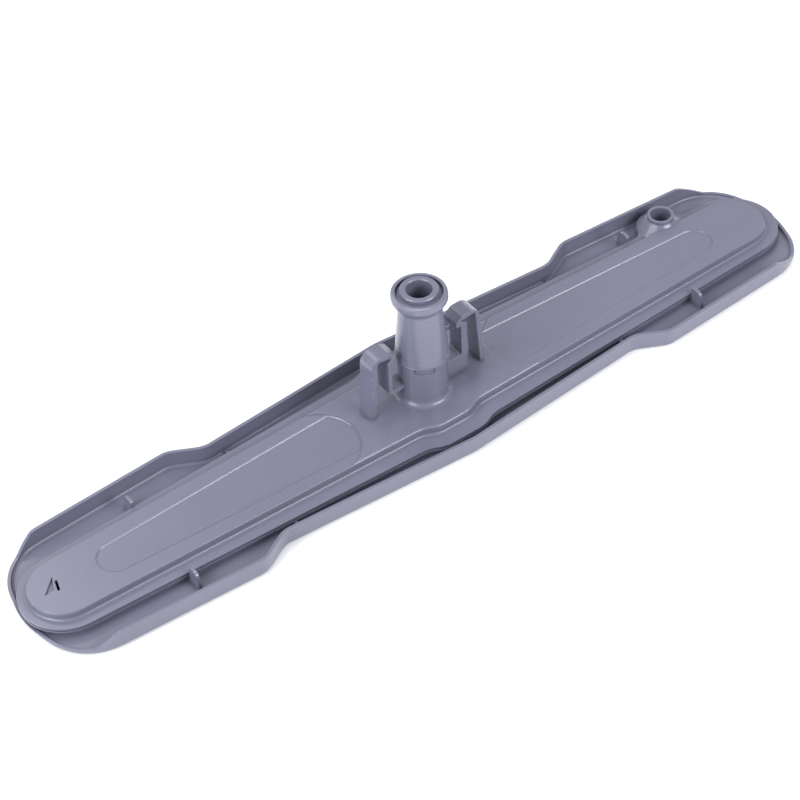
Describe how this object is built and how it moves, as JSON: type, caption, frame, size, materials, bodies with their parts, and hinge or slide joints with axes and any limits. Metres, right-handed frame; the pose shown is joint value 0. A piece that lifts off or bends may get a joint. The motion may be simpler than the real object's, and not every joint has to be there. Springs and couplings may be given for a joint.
{
  "type": "dishwasher spray arm",
  "caption": "Long hollow spray arm with a raised duct cover, open skirt channels and a tapered hub tube that turns on a bearing bush.",
  "frame": {"origin": "on the hub axis, at the spray face on which the arm lies; the bounding box is centred there but for the longer right tip", "axes": "+Z along the hub axis towards the tube's mouth, X along the arm"},
  "size_m": [0.459, 0.0878, 0.0781],
  "materials": {
    "shell": "satin",
    "cover": "satin",
    "tube": "satin",
    "bush": "satin"
  },
  "bodies": {
    "arm": {"spray_shell": "shell", "duct_cover": "cover", "hub_tube": "tube"},
    "bush": {"bearing_bush": "bush"}
  },
  "joints": [
    {"name": "arm_spin", "type": "hinge", "parent": "arm", "child": "bush", "pos_m": [0, 0, 0.06885], "axis": [0, 0, 1], "continuous": true}
  ]
}
